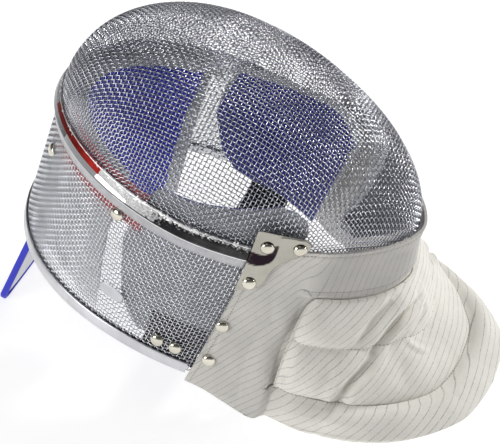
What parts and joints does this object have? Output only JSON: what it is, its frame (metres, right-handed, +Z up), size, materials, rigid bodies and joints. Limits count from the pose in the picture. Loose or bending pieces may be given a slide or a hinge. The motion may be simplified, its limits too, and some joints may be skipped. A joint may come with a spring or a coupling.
{
  "type": "fencing mask",
  "caption": "Woven steel fencing mask lying face up, with a chrome band, a quilted striped bib, blue padding and a padded tongue.",
  "frame": {"origin": "middle of the bounding box's bottom face, on the floor the mask lies on", "axes": "+Y towards the crown, +Z up, out of the face, which is tipped 21 degrees with the crown end raised; +X to the wearer's left"},
  "size_m": [0.2152, 0.4002, 0.2679],
  "materials": {
    "woven_steel": "bright woven wire",
    "chrome": "mirror",
    "aluminium": "satin",
    "nickel": "polished nickel",
    "striped_fabric": "matt, thin grey stripes",
    "blue_fabric": "matt",
    "grey_lining": "matt",
    "black_webbing": "matt woven",
    "badge_plastic": "satin"
  },
  "bodies": {
    "root": {"back_strap": "black_webbing", "bib_border": "striped_fabric", "bib_panel": "striped_fabric", "bib_shell": "striped_fabric", "cheek_pad_left": "blue_fabric", "cheek_pad_right": "blue_fabric", "chin_pad": "grey_lining", "chrome_band": "chrome", "corner_plate_left": "nickel", "corner_plate_right": "nickel", "crown_pad": "blue_fabric", "flap_rivet_lower_left": "nickel", "flap_rivet_lower_right": "nickel", "flap_rivet_upper_left": "nickel", "flap_rivet_upper_right": "nickel", "front_mesh": "woven_steel", "pad_rivet_crown_left": "nickel", "pad_rivet_crown_right": "nickel", "pad_rivet_temple_left": "nickel", "pad_rivet_temple_right": "nickel", "plate_rivet_front_left": "nickel", "plate_rivet_front_right": "nickel", "plate_rivet_tail_left": "nickel", "plate_rivet_tail_right": "nickel", "plate_rivet_top_left": "nickel", "plate_rivet_top_right": "nickel", "rear_rim": "aluminium", "side_badge": "badge_plastic", "side_mesh": "woven_steel", "strap_tab_left": "black_webbing", "strap_tab_right": "black_webbing", "tab_rivet_front_left": "nickel", "tab_rivet_front_right": "nickel", "tab_rivet_rear_left": "nickel", "tab_rivet_rear_right": "nickel", "tongue_binding": "blue_fabric", "tongue_pad": "grey_lining", "tongue_spring": "aluminium"}
  },
  "joints": []
}
